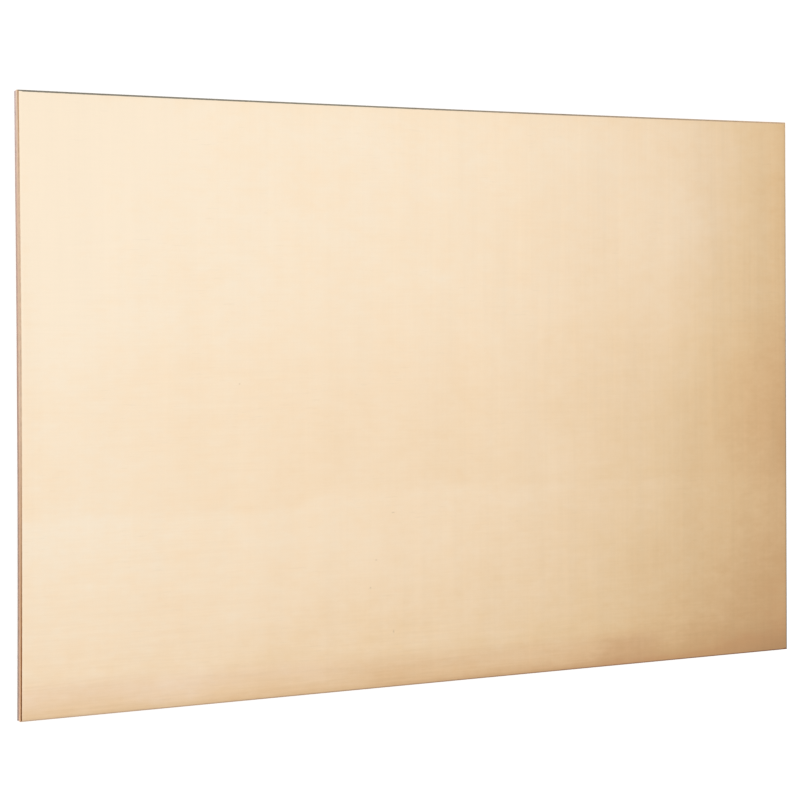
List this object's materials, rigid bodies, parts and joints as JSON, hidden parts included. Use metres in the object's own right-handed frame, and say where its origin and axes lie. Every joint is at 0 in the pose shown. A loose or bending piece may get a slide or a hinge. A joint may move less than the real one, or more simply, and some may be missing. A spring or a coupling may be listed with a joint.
{
  "type": "brass sheet",
  "caption": "Flat rectangular cold-rolled brass sheet, sheared square on all four sides, as raw stock for cutting, bending and engraving.",
  "frame": {"origin": "centre of the back face, which lies on the floor", "axes": "+X along the long side and the rolling direction, +Y along the short side, +Z out of the good face"},
  "size_m": [0.16, 0.1, 0.0015],
  "materials": {
    "brass": "pale yellow cold-rolled mill finish, satin with fine rolling streaks, light brown tarnish along one long edge and bare sheared sides"
  },
  "bodies": {
    "root": {"brass_sheet": "brass"}
  },
  "joints": []
}
